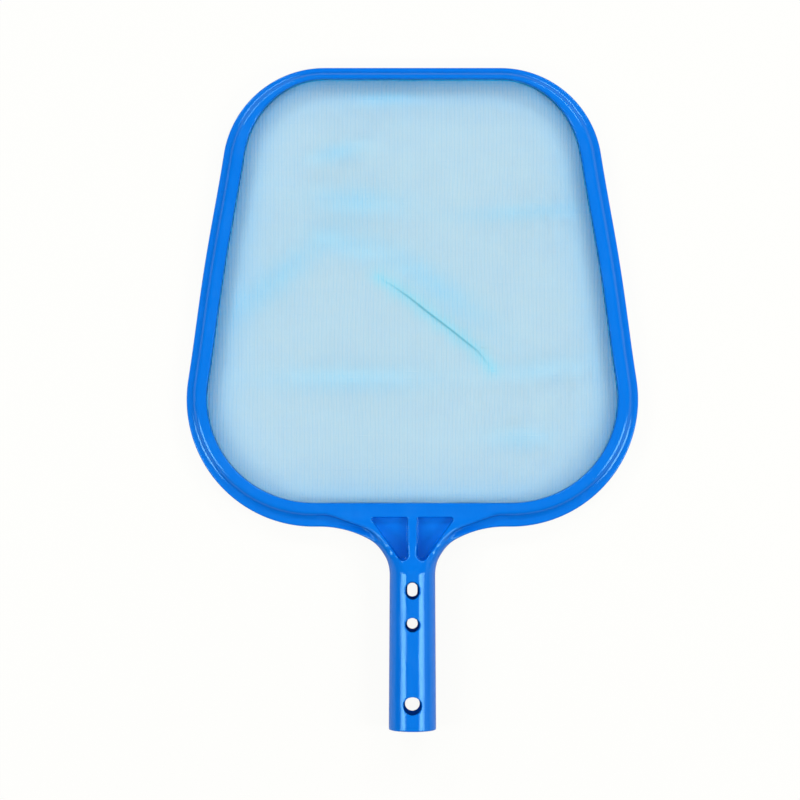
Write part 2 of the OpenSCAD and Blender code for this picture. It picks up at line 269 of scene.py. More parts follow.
def loop_stations(low_n, side_n, top_n, top_bar_n, low_bar_n):
    """Stations anticlockwise from the right end of the low bar. low_bar_n of 0 leaves the low bar open."""
    points, out, faced = right_half(low_n, side_n, top_n)
    top = straight(TOP_C[0], -TOP_C[0], OVERALL_L, math.pi / 2, top_bar_n)
    left = (points[::-1] * MIRROR, out[::-1] * MIRROR, faced[::-1])
    parts = [(points, out, faced), top, left]
    if low_bar_n:
        parts.append(straight(-LOW_C[0], LOW_C[0], LOW_Y, -math.pi / 2, low_bar_n))
    return tuple(np.concatenate([part[i] for part in parts]) for i in range(3))


def swept(stations, sections, closed):
    """Vertices and quads of sections (distance in, height) carried round the stations."""
    points, out, _ = stations
    count, size = sections.shape[:2]
    flat = points[:, None, :] - out[:, None, :] * sections[..., :1]
    verts = np.concatenate([flat, sections[..., 1:]], -1).reshape(-1, 3)
    here = np.arange(count if closed else count - 1)[:, None]
    after = (here + 1) % count
    corner = np.arange(size)[None, :]
    beside = (corner + 1) % size
    quads = np.stack([here * size + corner, after * size + corner,
                      after * size + beside, here * size + beside], -1)
    return verts, quads.reshape(-1, 4)


def rounded(corners, steps):
    """A closed outline from corners (x, y, radius): an arc of steps + 1 points, or one at radius 0."""
    pts = np.array(corners, float)
    out = []
    for i, (x, y, r) in enumerate(pts):
        c = np.array([x, y])
        if r == 0:
            out.append(c[None, :])
            continue
        a = pts[i - 1, :2] - c
        b = pts[(i + 1) % len(pts), :2] - c
        a, b = a / np.hypot(*a), b / np.hypot(*b)
        half = math.acos(np.clip(a @ b, -1, 1)) / 2
        mid = (a + b) / np.hypot(*(a + b))
        centre = c + mid * r / math.sin(half)
        p0 = c + a * r / math.tan(half) - centre
        p1 = c + b * r / math.tan(half) - centre
        a0, a1 = math.atan2(p0[1], p0[0]), math.atan2(p1[1], p1[0])
        turn = (a1 - a0 + math.pi) % (2 * math.pi) - math.pi
        out.append(centre + r * turned(a0 + turn * np.linspace(0, 1, steps + 1)))
    return np.concatenate(out)


# --------------------
# The frame moulding as a field: negative inside, millimetres.
# u is the distance in from a bar's outer edge, w the bar's width and f its flange's.
# --------------------
def gradient(field, p, step=0.02):
    """Gradient of a field at points, one column for each coordinate."""
    cols = []
    for i in range(p.shape[1]):
        shift = np.zeros(p.shape[1])
        shift[i] = step
        cols.append((field(p + shift) - field(p - shift)) / (2 * step))
    return np.stack(cols, -1)


def settled(field, p, rounds=3, most=0.4, flattest=0.05):
    """Points moved onto the field's surface, by no more than most in each round."""
    for _ in range(rounds):
        g = gradient(field, p)
        move = -field(p)[:, None] * g / np.maximum((g * g).sum(-1, keepdims=True), flattest)
        length = np.linalg.norm(move, axis=-1, keepdims=True)
        p = p + move * np.minimum(1, most / np.maximum(length, 1e-9))
    return p


def block(side, top, low, r_top, r_low):
    """A body under top and over low, inside side, with its two edges rounded."""
    return np.maximum(both(side, top, r_top), both(side, low, r_low))


def channel_step(w, f):
    """Where the channel's roof steps up from under the flange to under the band."""
    return min(f + WALL_T, w - WALL_T - ROOF_MIN)


def channel_field(u, z, w, f):
    """The channel under the bars, open below and towards the net."""
    right = u - (w - WALL_T)
    outer = both(WALL_T - u, z - (FLANGE_H - WALL_T), CHANNEL_OUT_R)
    inner = both(channel_step(w, f) - u, z - (BAND_H - WALL_T), CHANNEL_IN_R)
    under_flange = both(outer, right, CHANNEL_IN_R)
    under_band = both(inner, right, CHANNEL_IN_R)
    under_lip = np.maximum(WALL_T - u, z - LIP_H)
    return np.minimum(np.minimum(under_flange, under_band), under_lip)


def band_drop(u, w, step_top, crown):
    """How far the crowned band falls short of its full height."""
    return crown * np.clip((2 * u - step_top - w) / (w - step_top), -1.0, 1.0) ** 2


def raised_field(step, run, top, u, z, w, edge_r):
    """The raised band: step is the distance out from the upper edge of the step, which runs in by run."""
    lean = run / (BAND_H - FLANGE_H - FLANGE_RISE)
    side = (step - lean * np.minimum(top - z, STEP_DEPTH)) / np.hypot(1, lean)
    inner = u - w + INNER_DRAFT * (BAND_H - z) / (BAND_H - LIP_H)
    body = both(both(side, z - top, edge_r), inner, EDGE_R)
    return np.maximum(body, RAISED_FOOT - z)


def bar_field(u, z, sizes):
    """The moulding's section at a bar."""
    w, f, run, crown = sizes
    tilt = FLANGE_RISE / f
    top = (z - FLANGE_H - u * tilt) / np.hypot(1, tilt)
    flange = np.maximum(block(-u, top, -z, EDGE_R, FOOT_R), u - (w - FLANGE_END))
    step_top = f + STEP_MID + run / 2
    band_top = BAND_H - band_drop(u, w, step_top, crown)
    band = raised_field(step_top - u, run, band_top, u, z, w, STEP_EDGE_R)
    body = either(flange, band, STEP_FILLET_R)
    return both(body, -channel_field(u, z, w, f), OPENING_R)


def bar_corners(sizes):
    """Corners of the bar's section, round from the outer bottom edge.

    They only start the section's points, which are then settled onto the field's surface.
    """
    w, f, run, _ = sizes
    inside = w - WALL_T
    step = channel_step(w, f)
    foot, step_top = f + STEP_MID - run / 2, f + STEP_MID + run / 2
    band = [(mix(step_top + 1.4, w - 1.2, t), BAND_H, 0) for t in (0.2, 0.4, 0.6, 0.8)]
    return [
        (0, 0, 0.5), (0, FLANGE_H * 0.5, 0), (0, FLANGE_H, EDGE_R),
        (foot * 0.6, FLANGE_H + FLANGE_RISE * 0.5, 0), (foot, FLANGE_H + FLANGE_RISE, 0.7),
        (step_top, BAND_H, 1.4), *band,
        (w, BAND_H, EDGE_R), (w - 0.1, 9, 0), (w - 0.2, LIP_H, 0.4), (inside, LIP_H, 0.4),
        (inside, BAND_H - WALL_T, 0.25), (step, BAND_H - WALL_T, 0.25),
        (step, FLANGE_H - WALL_T, 0.2), (WALL_T, FLANGE_H - WALL_T, 0.5), (WALL_T, 0, 0.4),
    ]


def bar_section(sizes):
    """Points of a bar's section on its surface, and the surface's normals there."""
    def field(q):
        return bar_field(q[:, 0], q[:, 1], sizes)

    section = settled(field, rounded(bar_corners(sizes), 4), rounds=4)
    return section, unit(gradient(field, section))


# --------------------
# Plan fields of the yoke, kept on a fine grid and read with cubic interpolation
# --------------------
PLAN_STEP = 0.25
PLAN_X = np.arange(-4, 72, PLAN_STEP)
PLAN_Y = np.arange(100, 162, PLAN_STEP)
PLAN_GX, PLAN_GY = np.meshgrid(PLAN_X, PLAN_Y, indexing="ij")
WIDE_STEP = 0.5
WIDE_X = np.arange(-60, 130, WIDE_STEP)
WIDE_Y = np.arange(70, 175, WIDE_STEP)
HULL_DIRECTIONS = 360


def hull_field(x, y, circles):
    """Distance to the convex outline round some circles (x, y, radius)."""
    best = np.full(x.shape, -1e9)
    for a in np.linspace(0, 2 * math.pi, HULL_DIRECTIONS + 1)[:-1]:
        c, s = math.cos(a), math.sin(a)
        reach = max(cx * c + cy * s + r for cx, cy, r in circles)
        best = np.maximum(best, x * c + y * s - reach)
    return best


def pocket_circles(top, grow):
    """Three circles whose hull is a pocket's outline, with its upper edge at top."""
    low = (RIB_W + POCKET_END_W) / 2
    lean = (POCKET_X - RIB_W / 2 - POCKET_END_W) / (POCKET_TOP - POCKET_LOW - POCKET_END_W / 2)
    reach = POCKET_X - lean * (POCKET_TOP - top)
    return [(RIB_W / 2 + POCKET_R, top - POCKET_R, POCKET_R + grow),
            (reach - 2 * POCKET_R, top - POCKET_R, POCKET_R + grow),
            (low, POCKET_LOW + POCKET_END_W / 2, POCKET_END_W / 2 + grow)]


def level_crossings(values, level, x, y):
    """Points on the lines of a wide grid along y where its values cross a level."""
    i, j = np.nonzero((values[:, :-1] > level) != (values[:, 1:] > level))
    t = (level - values[i, j]) / (values[i, j + 1] - values[i, j])
    return np.stack([x[i], y[j] + t * WIDE_STEP], -1)


def raised_plan_field():
    """Plan of the legs, the centre rib, the land and the band, closed with the fillet radius.

    The closing is what no disc of that radius can reach, so its outline lies one radius from the
    level of the plain shape's field at that radius. The wide grid holds that level.
    """
    gx, gy = np.meshgrid(WIDE_X, WIDE_Y, indexing="ij")
    ax = np.abs(gx)
    legs = hull_field(ax, gy, pocket_circles(POCKET_TOP, LEG_W))
    fall = STEP_Y - LAND_FALL
    beyond = STEP_Y + LAND_BEYOND
    land = hull_field(ax, gy, [(0, beyond, 0), (0, fall, 0), (LAND_LEG_X, fall, 0),
                               (LAND_X, STEP_Y, 0), (LAND_X, beyond, 0)])
    plain = np.minimum(np.minimum(legs, land), STEP_Y - gy)
    edge = np.concatenate([level_crossings(plain, LEG_FILLET_R, WIDE_X, WIDE_Y),
                           level_crossings(plain.T, LEG_FILLET_R, WIDE_Y, WIDE_X)[:, ::-1]])
    nearest = np.full(PLAN_GX.shape, 1e9)
    for px, py in edge:
        nearest = np.minimum(nearest, (PLAN_GX - px) ** 2 + (PLAN_GY - py) ** 2)
    return LEG_FILLET_R - np.sqrt(nearest)


def cubic_weights(t):
    """Weights of the four neighbours in a Catmull-Rom interpolation."""
    return [((-0.5 * t + 1) * t - 0.5) * t, (1.5 * t - 2.5) * t * t + 1,
            ((-1.5 * t + 2) * t + 0.5) * t, (0.5 * t - 0.5) * t * t]


def read_grid(values, start, step, x, y):
    """A field kept on a grid, at points."""
    fx = np.clip((x - start[0]) / step, 1, values.shape[0] - 3.001)
    fy = np.clip((y - start[1]) / step, 1, values.shape[1] - 3.001)
    ix, iy = fx.astype(int), fy.astype(int)
    wx, wy = cubic_weights(fx - ix), cubic_weights(fy - iy)
    total = np.zeros(np.broadcast(x, y).shape)
    for a in range(4):
        for b in range(4):
            total += wx[a] * wy[b] * values[ix + a - 1, iy + b - 1]
    return total


def read_plan(values, ax, y):
    """One of the plan fields below, at points."""
    return read_grid(values, (PLAN_X[0], PLAN_Y[0]), PLAN_STEP, ax, y)


RAISED = raised_plan_field()
POCKET = hull_field(PLAN_GX, PLAN_GY, pocket_circles(POCKET_TOP, 0.0))
UNDER = hull_field(PLAN_GX, PLAN_GY, pocket_circles(UNDER_TOP, 0.0))


# --------------------
# The yoke and the pole socket. ax is the distance from the middle, away is 1 there and
# falls to 0 where the plain bar starts, and by_neck is 1 at the neck and 0 far from it.
# --------------------
def slope_run(y):
    """Distance along the slope from the neck, which starts softly."""
    d = np.maximum(y - NECK_Y, 0)
    return np.where(d < NECK_SOFT, d * d / (2 * NECK_SOFT), d - NECK_SOFT / 2)


def slope_z(y, start, end, end_y):
    """Height of a slope from start at the neck to end at end_y."""
    return mix(start, end, slope_run(y) / slope_run(end_y))


def fairing(ax, y):
    """Distance out of the yoke's plan: the tube's cone, the two fairing arcs and the bar's edge."""
    cone = ax - mix(MOUTH_R, NECK_R, y / NECK_Y)
    neck = NECK_FAIR_R - np.hypot(ax - NECK_C[0], y - NECK_C[1])
    fair = FAIR_R - np.hypot(ax - FAIR_C[0], y - FAIR_C[1])
    across = NECK_C - FAIR_C
    on_neck = (ax - FAIR_C[0]) * across[1] - (y - FAIR_C[1]) * across[0] < 0
    plan = np.where(on_neck, neck, fair)
    plan = np.where(ax > FAIR_X, LOW_Y - y, plan)
    return np.where(y < NECK_Y, cone, plan)


def yoke_body(ax, y, z, away):
    """The tube and the sloping body that opens from it into the low bar's flange, all solid."""
    u = y - LOW_Y
    w, f = BAR_W[2], FLANGE_W[2]
    tube_r = mix(MOUTH_R, NECK_R, np.minimum(y / NECK_Y, 1))
    t = np.clip((y - NECK_Y) / (LOW_Y - NECK_Y), 0, 1)
    opening = ease(t) ** SECTION_OPENING
    tilt = FLANGE_RISE / f
    flange_top = FLANGE_H + u * tilt
    slope = slope_z(y, AXIS_Z + tube_r, FLANGE_H, LOW_Y)
    top = np.where(y < NECK_Y, AXIS_Z + tube_r, higher(slope, flange_top, SLOPE_FILL * away))
    starting = ease((y - NECK_Y) / NECK_SOFT)
    ending = ease((u + SLOPE_FADE / 2) / SLOPE_FADE)
    fall = SLOPE_FALL * starting * (1 - ending)
    low = np.where(y < NECK_Y, AXIS_Z - tube_r, mix(AXIS_Z - NECK_R, 0, ease(t)))
    r_top = mix(tube_r, EDGE_R, opening)
    r_low = mix(tube_r, FOOT_R, opening)
    body = block(fairing(ax, y), (z - top) / np.hypot(1, fall), low - z, r_top, r_low)
    return np.maximum(body, u - (w - FLANGE_END))


def yoke_raised(ax, y, z, away, by_neck):
    """The legs, the centre rib, the land and the band."""
    u = y - LOW_Y
    w = BAR_W[2]
    band_top = BAND_H - band_drop(u, w, STEP_Y - LOW_Y, CROWN[2]) * (1 - away)
    legs_top = slope_z(y, TUBE_TOP - LEG_SINK, BAND_H, POCKET_TOP)
    top = higher(legs_top, band_top, LEG_FILL * away)
    top = np.where(u > BAND_FROM, band_top, top)
    sag = NECK_R - np.sqrt(NECK_R ** 2 - np.minimum(ax, SAG_X) ** 2)
    top = top - sag * ease((NECK_Y + SAG_END - y) / SAG_RUN)
    run = mix(STEP_RUN[2], LEG_RUN, away)
    edge_r = mix(STEP_EDGE_R, NECK_EDGE_R, by_neck)
    return raised_field(read_plan(RAISED, ax, y), run, top, u, z, w, edge_r)


def with_holes(body, x, y, z):
    """A body with the slot, the two round cross holes and the bore cut in."""
    taper = np.where(z > AXIS_Z, 0.0, HOLE_TAPER)
    hole_y = y + taper
    slot = np.hypot(x, np.maximum(np.abs(hole_y - SLOT_Y) - SLOT_HALF, 0)) - SLOT_R
    mid = np.hypot(x, hole_y - MID_HOLE[0]) - MID_HOLE[1]
    near = np.hypot(x, hole_y - LOW_HOLE[0]) - LOW_HOLE[1]
    holes = np.minimum(np.minimum(slot, mid), near) + taper
    bore = both(np.hypot(x, z - AXIS_Z) - BORE_R, y - BORE_L, BORE_END_R)
    return both(both(body, -holes, HOLE_EDGE_R), -bore, BORE_EDGE_R)


def with_pockets(body, ax, y, z):
    """A body with the two pockets cut in from above, and hollow under their floor."""
    outline = read_plan(POCKET, ax, y) - POCKET_DRAFT * (z - WEB_TOP)
    pocket = both(outline, WEB_TOP - z, POCKET_FLOOR_R)
    under = both(read_plan(UNDER, ax, y), z - (WEB_TOP - WEB_T), POCKET_FLOOR_R)
    return both(both(body, -pocket, POCKET_EDGE_R), -under, OPENING_R)


def yoke_field(p):
    """The yoke, the socket and the straight part of the low bar."""
    x, y, z = p[..., 0], p[..., 1], p[..., 2]
    ax = np.abs(x)
    away = 1 - ease((ax - BLEND_X) / (FAIR_X - BLEND_X))
    by_neck = ease((NECK_Y + NECK_REACH - y) / NECK_RUN)
    raised = yoke_raised(ax, y, z, away, by_neck)
    body = either(yoke_body(ax, y, z, away), raised, mix(STEP_FILLET_R, NECK_FILLET_R, by_neck))
    body = both(body, -y, MOUTH_EDGE_R)
    body = with_pockets(with_holes(body, x, y, z), ax, y, z)
    return both(body, -channel_field(y - LOW_Y, z, BAR_W[2], FLANGE_W[2]), OPENING_R)


YOKE_STEP = 0.8                   # of the grid that the yoke's surface is found on
YOKE_X = 66.0                     # how far the grid reaches either side of the middle
YOKE_Y = (-2.5, 156.0)
YOKE_Z = (-2.5, 34.0)
SLAB = 12                         # layers of the grid worked out at a time
FIELD_LIMIT = 4.0                 # where the grid's values are cut off


def filled_bmesh(verts, faces):
    """A bmesh from points and faces."""
    mesh = bmesh.new()
    made = [mesh.verts.new(v) for v in verts]
    for face in faces:
        mesh.faces.new([made[i] for i in face])
    return mesh


def emptied_bmesh(mesh):
    """Vertices and faces of a bmesh, which is freed."""
    mesh.verts.index_update()
    verts = np.array([v.co for v in mesh.verts])
    faces = [[v.index for v in f.verts] for f in mesh.faces]
    mesh.free()
    return verts, faces


def yoke_surface():
    """Vertices and faces of the yoke field's surface."""
    x = np.arange(-YOKE_X, YOKE_X + YOKE_STEP, YOKE_STEP)
    y = np.arange(*YOKE_Y, YOKE_STEP)
    z = np.arange(*YOKE_Z, YOKE_STEP)
    grid = np.empty((len(x), len(y), len(z)), np.float32)
    for i in range(0, len(x), SLAB):
        cells = np.stack(np.meshgrid(x[i:i + SLAB], y, z, indexing="ij"), -1)
        grid[i:i + SLAB] = yoke_field(cells)
    volume = openvdb.FloatGrid(FIELD_LIMIT)
    volume.copyFromArray(np.clip(grid, -FIELD_LIMIT, FIELD_LIMIT))
    points, tris, quads = volume.convertToPolygons(0.0, 0.0)
    verts = points * YOKE_STEP + [x[0], y[0], z[0]]
    return settled(yoke_field, verts), quads.tolist() + tris.tolist()


def yoke_mesh():
    """Vertices, faces and normals of the yoke and socket, cut open at the two seams."""
    mesh = filled_bmesh(*yoke_surface())
    for sign in (-1, 1):
        everything = mesh.verts[:] + mesh.edges[:] + mesh.faces[:]
        bmesh.ops.bisect_plane(mesh, geom=everything, dist=1e-5, plane_co=(sign * SEAM_X, 0, 0),
                               plane_no=(sign, 0, 0), clear_outer=True)
    verts, faces = emptied_bmesh(mesh)

    at_seam = np.abs(np.abs(verts[:, 0]) - SEAM_X) < 1e-4
    seam = verts[at_seam]

    def seam_field(q):
        return yoke_field(np.stack([seam[:, 0], q[:, 0], q[:, 1]], -1))

    verts[at_seam, 1:] = settled(seam_field, seam[:, 1:], rounds=4)
    normals = unit(gradient(yoke_field, verts))
    a, b, c = (verts[[f[k] for f in faces]] for k in range(3))
    outward = normals[[f[0] for f in faces]]
    if (np.cross(b - a, c - a) * outward).sum() < 0:
        faces = [f[::-1] for f in faces]
    return verts, faces, normals


def bar_mesh():
    """Vertices, quads and normals of the swept bars, from one seam round to the other."""
    first = straight(SEAM_X + 2 * BRIDGE, SEAM_X, LOW_Y, -math.pi / 2, 1)
    points, out, faced = loop_stations(low_n=52, side_n=22, top_n=40, top_bar_n=20, low_bar_n=0)
    stations = (np.concatenate([first[0], points, first[0] * MIRROR]),
                np.concatenate([first[1], out, first[1] * MIRROR]),
                np.concatenate([first[2], faced, first[2]]))
    changing = [around(size, stations[2]) for size in (BAR_W, FLANGE_W, STEP_RUN, CROWN)]
    made = [bar_section(sizes) for sizes in zip(*changing)]
    sections, slants = (np.array(part) for part in zip(*made))
    verts, quads = swept(stations, sections, False)
    normals = np.concatenate([-stations[1][:, None, :] * slants[..., :1], slants[..., 1:]], -1)
    return verts, quads, normals.reshape(-1, 3)


def moulding():
    """The whole frame moulding as one closed mesh."""
    verts, faces, normals = yoke_mesh()
    bar_verts, bar_quads, bar_normals = bar_mesh()
    bar_faces = (bar_quads[:, ::-1] + len(verts)).tolist()
    mesh = filled_bmesh(np.concatenate([verts, bar_verts]), faces + bar_faces)
    edges = [e for e in mesh.edges if len(e.link_faces) == 1]
    for sign in (-1, 1):
        bmesh.ops.bridge_loops(mesh, edges=[e for e in edges if sign * e.verts[0].co.x > 0])
    bmesh.ops.recalc_face_normals(mesh, faces=mesh.faces[:])
    found, shapes = emptied_bmesh(mesh)
    return new_object("frame_moulding", found, shapes, np.concatenate([normals, bar_normals]))


# --------------------
# Retaining ring and edge cord
# --------------------
def ring_piece():
    """The retaining ring: a foot that closes the channel, and a leg that pinches the net."""
    stations = loop_stations(low_n=44, side_n=16, top_n=32, top_bar_n=12, low_bar_n=16)
    outer = WALL_T + FIT_GAP
    sections = []
    for w in around(BAR_W, stations[2]):
        leg = w - LEG_IN
        corners = [(leg, LEG_TOP, RING_EDGE_R), (leg - LEG_T, LEG_TOP, RING_EDGE_R),
                   (leg - LEG_T, FOOT_TOP, RING_ROOT_R), (outer, FOOT_TOP, RING_EDGE_R),
                   (outer, FOOT_Z, RING_EDGE_R), (w, FOOT_Z, RING_RIM_R),
                   (w, FOOT_TOP, RING_EDGE_R), (leg, FOOT_TOP, RING_ROOT_R)]
        sections.append(rounded(corners, 3))
    verts, quads = swept(stations, np.array(sections), True)
    return new_object("retaining_ring_visual", verts, quads)


def cord_piece():
    """A three-strand cord: its section's three lobes turn as it runs."""
    stations = loop_stations(low_n=150, side_n=70, top_n=110, top_bar_n=60, low_bar_n=60)
    n = len(stations[0])
    around_it = np.linspace(0, 2 * math.pi, CORD_POINTS + 1)[:-1]
    run = np.concatenate([[0], np.cumsum(np.hypot(*np.diff(stations[0], axis=0).T))])
    turns = round(run[-1] / CORD_LAY)
    twist = run / run[-1] * (1 - 1 / n) * turns * 2 * math.pi
    lobes = np.abs(np.cos(CORD_STRANDS / 2 * (around_it[None, :] - twist[:, None])))
    radius = CORD_R * (1 - CORD_GROOVE + CORD_GROOVE * lobes)
    centre = around(BAR_W, stations[2]) - CORD_IN
    sections = np.stack([centre[:, None] + radius * np.cos(around_it),
                         CORD_Z + radius * np.sin(around_it)], -1)
    verts, quads = swept(stations, sections[:, ::-1], True)
    return new_object("edge_cord_visual", verts, quads)


# --------------------
# Net
# --------------------
# Its threads: pitch, half widths taken by turns, half thickness, lift, random shift
WALES = (0.885, (0.185, 0.135), 0.09, 0.09, 0.01)
COURSES = (0.5, (0.14,), 0.08, -0.09, 0.02)
FIRST_IN = 0.3                    # from the net's edge in to the first thread
LAST_IN = 0.2
THREAD_MIN = 4.0                  # a shorter thread is left out
THREAD_SEGMENT = 10.0
FINE_SEGMENT = 0.9                # length of its segments by the crease
FINE_REACH = 2.4
SWAY = 0.5                        # how far threads sway, and the wave's size along and across them
SWAY_ALONG = 23.0
SWAY_ACROSS = 31.0
SLACK_IN = 2.0                    # where folds start, in from the bars' inner edge
SLACK_RUN = 20.0
RIM_FADE = 9.0                    # how fast the rim's painted shade and bounce light, and the threads' widening there, fade inwards
RIM_SPREAD = 0.45                 # how much wider threads are at the rim and at the crease
CREASE_SPREAD = 0.45
LOW_RIM_SHADE = 0.35                    # strength of the rim's painted shade and bounce light along the low bar
LOW_RIM_UP = 22.0                 # where it starts to grow to full strength, and over what run
LOW_RIM_RUN = 60.0

# Soft folds in the slack net: centre, half lengths, turn in degrees, height
FOLDS = [((79, 346), (44, 6), 3, 1.0), ((-37, 353), (30, 10), -4, 1.2),
         ((-50, 386), (18, 6), 14, 1.2), ((-92, 300), (44, 9), 41, 1.3),
         ((-44, 323), (24, 9), -22, 1.0), ((14, 297), (48, 10), -36, 1.3),
         ((-42, 234), (54, 9), 0, 1.0), ((86, 240), (30, 8), 6, 0.8),
         ((72, 194), (20, 7), 0, 1.0), ((-18, 424), (22, 6), 0, 1.1)]
FOLD_FULL = 1.3                   # height at which a fold has its full painted shade
# The sharp crease across them: points and how strong it is there
CREASE = np.array([(-23, 302.5), (-11, 295), (-1.6, 288.3), (12, 277.6), (25.3, 267.5),
                   (38.8, 256.7), (43.5, 253), (48.2, 247.3), (53.6, 240.5)])
CREASE_STRENGTH = np.array([0, 0.5, 0.9, 1, 1, 0.9, 0.6, 0.35, 0])
CREASE_H = 0.6                    # height and half width of its ridge
CREASE_W = 1.3
CREASE_LINE_W = 0.6               # of the painted shade line along it, where the threads are also wider
CREASE_GLOW = 0.9                 # strength and width of the painted highlight beside it
CREASE_GLOW_W = 4.5

INNER_STATIONS = loop_stations(low_n=90, side_n=30, top_n=70, top_bar_n=40, low_bar_n=40)
INNER_EDGE = INNER_STATIONS[0] - INNER_STATIONS[1] * around(BAR_W, INNER_STATIONS[2])[:, None]
HEM_EDGE = INNER_EDGE + INNER_STATIONS[1] * HEM_IN


def inside_distance(x, y):
    """Distance in from the hoop's inner edge, negative under the bars."""
    a, b = INNER_EDGE, np.roll(INNER_EDGE, -1, axis=0)
    result = np.full(x.shape, 1e9)
    crossings = np.zeros(x.shape, int)
    for (ax, ay), (dx, dy) in zip(a, b - a):
        t = np.clip(((x - ax) * dx + (y - ay) * dy) / (dx * dx + dy * dy), 0, 1)
        result = np.minimum(result, np.hypot(x - ax - t * dx, y - ay - t * dy))
        if dy != 0:
            s = (y - ay) / dy
            crossings += (s >= 0) & (s < 1) & (ax + s * dx > x)
    return np.where(crossings % 2 == 1, result, -result)


INWARD_STEP = 1.0
INWARD_X = np.arange(0, 152.5, INWARD_STEP)
INWARD_Y = np.arange(130, 445.5, INWARD_STEP)
INWARD = inside_distance(*np.meshgrid(INWARD_X, INWARD_Y, indexing="ij"))


def fold_field(p):
    """Height that the soft folds add."""
    total = np.zeros(len(p))
    for (cx, cy), (sx, sy), turn, height in FOLDS:
        c, s = math.cos(math.radians(turn)), math.sin(math.radians(turn))
        dx, dy = p[:, 0] - cx, p[:, 1] - cy
        a, b = (dx * c + dy * s) / sx, (dy * c - dx * s) / sy
        total += height * np.exp(-a * a - b * b)
    return total


def crease_at(p):
    """Distance from the crease in the net, and the crease's strength at its nearest point."""
    best = np.full(len(p), 1e9)
    strength = np.zeros(len(p))
    for i in range(len(CREASE) - 1):
        a, d = CREASE[i], CREASE[i + 1] - CREASE[i]
        t = np.clip(((p - a) @ d) / (d @ d), 0, 1)
        away = np.linalg.norm(p - a - t[:, None] * d, axis=1)
        here = mix(CREASE_STRENGTH[i], CREASE_STRENGTH[i + 1], t)
        strength = np.where(away < best, here, strength)
        best = np.minimum(best, away)
    return best, strength


def net_height(p, inward):
    """Height of the net's middle surface at points, from their distance in from the edge."""
    f = np.clip(inward / NET_FALL, 0, 1)
    slack = ease((inward - SLACK_IN) / SLACK_RUN)
    z = mix(NET_FLOOR, NET_GAP, (1 - f) ** 2)
    away, strength = crease_at(p)
    crease = CREASE_H * strength * np.exp(-(away / CREASE_W) ** 2)
    return z + slack * (fold_field(p) + crease)


def thread_ends(at, axis):
    """Where a straight thread meets the net's edge under the bars: two values along the other axis."""
    a, b = HEM_EDGE, np.roll(HEM_EDGE, -1, axis=0)
    cross = (a[:, axis] > at) != (b[:, axis] > at)
    if not cross.any():
        return 0, 0
    t = (at - a[cross, axis]) / (b[cross, axis] - a[cross, axis])
    other = mix(a[cross, 1 - axis], b[cross, 1 - axis], t)
    return other.min(), other.max()


def thread_line(at, axis, jitter):
    """Plan points of one thread, closer together where it crosses the crease."""
    start, end = thread_ends(at, axis)
    if end - start < THREAD_MIN:
        return None
    aside = np.eye(2)[axis]
    ahead = aside[::-1]
    along = np.linspace(start, end, max(3, int((end - start) / THREAD_SEGMENT) + 1))
    fine = np.linspace(start, end, max(3, int((end - start) / FINE_SEGMENT)))
    close = crease_at(fine[:, None] * ahead + at * aside)[0] < FINE_REACH
    along = np.unique(np.concatenate([along, fine[close]]))
    sway = SWAY * np.sin(along / SWAY_ALONG) * math.sin(at / SWAY_ACROSS) + jitter
    return along[:, None] * ahead + (at + sway)[:, None] * aside


def thread_painted_light(path, rim, crease_line_shade, away):
    """How much a thread takes of four painted light colours: the rim's shade and bounce light, the folds'
    shade, the crease's shade line and the highlight beside it.
    """
    up = path[:, 1] - LOW_Y
    # Painted rim shade and bounce light, weaker along the low bar.
    rim_shade_strength = mix(LOW_RIM_SHADE, 1.0, ease((up - LOW_RIM_UP) / LOW_RIM_RUN))
    # Painted highlight beside the crease.
    glow = CREASE_GLOW * np.exp(-(away / CREASE_GLOW_W) ** 2)
    return np.stack([rim_shade_strength * rim, fold_field(path[:, :2]) / FOLD_FULL, crease_line_shade, glow], -1)


def thread_tube(line, axis, lift, half_w, half_t):
    """Vertices, quads and painted light shares of one flat thread, which turns up into the channel at both
    ends.
    """
    inward = read_grid(INWARD, (INWARD_X[0], INWARD_Y[0]), INWARD_STEP, np.abs(line[:, 0]), line[:, 1])
    path = np.concatenate([line, (net_height(line, inward) + lift)[:, None]], -1)
    ends = path[[0, -1]] * [1, 1, 0] + [0, 0, HEM_TOP + lift]
    path = np.concatenate([ends[:1], path, ends[1:]])
    inward = np.concatenate([[-HEM_IN], inward, [-HEM_IN]])
    away, strength = crease_at(path[:, :2])
    # The rim's share drives painted blue shade and bounce light near the frame, and also makes the threads
    # wider there.
    rim = np.exp(-np.maximum(inward, 0) / RIM_FADE)
    # The crease's share drives a painted teal shade line along the crease, and also makes the threads
    # wider there.
    crease_line_shade = strength * np.exp(-(away / CREASE_LINE_W) ** 2)
    side = np.zeros(path.shape)
    side[:, axis] = half_w * (1 + RIM_SPREAD * rim + CREASE_SPREAD * crease_line_shade)
    up = half_t * unit(np.cross(unit(np.gradient(path, axis=0)), side))
    ring = np.stack([path + side, path + up, path - side, path - up], 1)
    m = len(path)
    i = np.arange(m - 1)[:, None] * 4
    j = np.arange(4)[None, :]
    k = (j + 1) % 4
    quads = np.stack([i + j, i + k, i + 4 + k, i + 4 + j], -1).reshape(-1, 4)
    caps = np.array([[3, 2, 1, 0], [4 * m - 4, 4 * m - 3, 4 * m - 2, 4 * m - 1]])
    tone = thread_painted_light(path, rim, crease_line_shade, away)
    return ring.reshape(-1, 3), np.concatenate([quads, caps]), np.repeat(tone, 4, axis=0)


